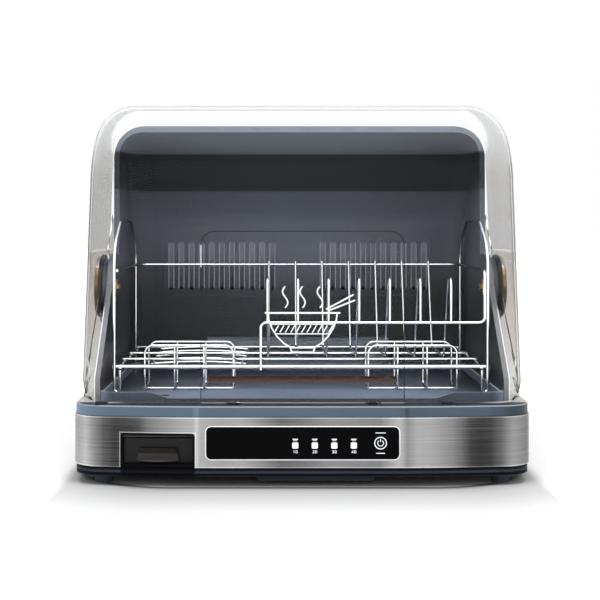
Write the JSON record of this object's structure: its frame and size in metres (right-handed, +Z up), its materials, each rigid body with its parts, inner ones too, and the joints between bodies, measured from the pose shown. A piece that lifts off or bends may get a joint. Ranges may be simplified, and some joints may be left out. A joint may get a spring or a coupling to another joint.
{
  "type": "electric dish dryer",
  "caption": "Countertop dish dryer: steel-banded base with fan heater and drip drawer, rear hood with vents, clear visor lid on side pivots, drip tray and wire rack with dividers and baskets.",
  "frame": {"origin": "on the surface it stands on, under the middle of its bounding box", "axes": "+X to the right as seen from the front, -Y to the front, +Z up"},
  "size_m": [0.455, 0.335, 0.3795],
  "materials": {
    "rubber_black": "matt",
    "plain_steel": "satin",
    "pan_navy": "satin",
    "band_steel": "brushed lengthwise",
    "inner_plastic": "matt",
    "sleeve_plastic": "satin",
    "drawer_plastic": "satin",
    "pull_plastic": "satin",
    "window_black": "gloss",
    "bezel_chrome": "polished",
    "lens_white": "lit translucent white",
    "key_black": "gloss with a light ring",
    "switch_dark": "matt",
    "board_green": "satin",
    "wheel_plastic": "matt",
    "motor_metal": "satin",
    "fin_aluminium": "plain",
    "rim_plastic": "satin",
    "tray_plastic": "satin",
    "outlet_plastic": "satin",
    "lamp_glass": "clear",
    "socket_white": "matt",
    "hood_plastic": "semi-gloss",
    "vent_plastic": "satin",
    "filter_dark": "matt, open foam",
    "brass": "satin",
    "disc_black": "gloss",
    "lid_clear": "clear, polished",
    "pull_brown": "translucent, smoked",
    "wire_bright": "polished"
  },
  "bodies": {
    "base": {"rubber_feet": "rubber_black", "foot_screws": "plain_steel", "bottom_pan": "pan_navy", "steel_band": "band_steel", "base_shell": "inner_plastic", "panel_glass": "window_black", "panel_bezel": "bezel_chrome", "indicator_lenses": "lens_white", "tact_switch": "switch_dark", "control_board": "board_green", "power_board": "board_green", "drawer_sleeve": "sleeve_plastic", "blower_housing": "inner_plastic", "blower_motor": "motor_metal", "heater_housing": "inner_plastic", "heater_element": "fin_aluminium", "cord_inlet": "rubber_black", "rim_frame": "rim_plastic", "rim_bumpers": "rubber_black", "air_outlet": "outlet_plastic", "uv_lamp": "lamp_glass", "lamp_sockets": "socket_white", "rear_housing": "hood_plastic", "vent_grilles": "vent_plastic", "vent_filters": "filter_dark", "pivot_pins": "plain_steel", "pivot_washers": "plain_steel", "brass_nuts": "brass"},
    "lid": {"lid": "lid_clear", "lid_pull": "pull_brown", "pivot_discs": "disc_black", "brass_caps": "brass"},
    "drawer": {"drip_drawer": "drawer_plastic", "drawer_pull": "pull_plastic"},
    "tray": {"drip_tray": "tray_plastic"},
    "rack": {"side_arches": "wire_bright", "top_rail": "wire_bright", "front_bar": "wire_bright", "floor_bars": "wire_bright", "plate_dividers": "wire_bright", "bowl_grid": "wire_bright", "basket_left": "wire_bright", "basket_right": "wire_bright"},
    "key": {"power_button": "key_black"},
    "wheel": {"blower_wheel": "wheel_plastic", "blower_shaft": "plain_steel"}
  },
  "joints": [
    {"name": "lid_hinge", "type": "hinge", "parent": "base", "child": "lid", "pos_m": [0, -0.0075, 0.188], "axis": [-1, 0, 0], "range_deg": [0, 60]},
    {"name": "drawer_slide", "type": "slide", "parent": "base", "child": "drawer", "axis": [0, -1, 0], "range_m": [0, 0.09]},
    {"name": "tray_lift", "type": "slide", "parent": "base", "child": "tray", "axis": [0, 0, 1], "range_m": [0, 0.025]},
    {"name": "rack_lift", "type": "slide", "parent": "tray", "child": "rack", "axis": [0, 0, 1], "range_m": [0, 0.04]},
    {"name": "key_press", "type": "slide", "parent": "base", "child": "key", "axis": [0, 1, 0], "range_m": [0, 0.0008], "stiffness_N_per_m": 600},
    {"name": "wheel_spin", "type": "hinge", "parent": "base", "child": "wheel", "pos_m": [0.01, 0.0005, 0.03], "axis": [0, 0, 1], "continuous": true}
  ]
}
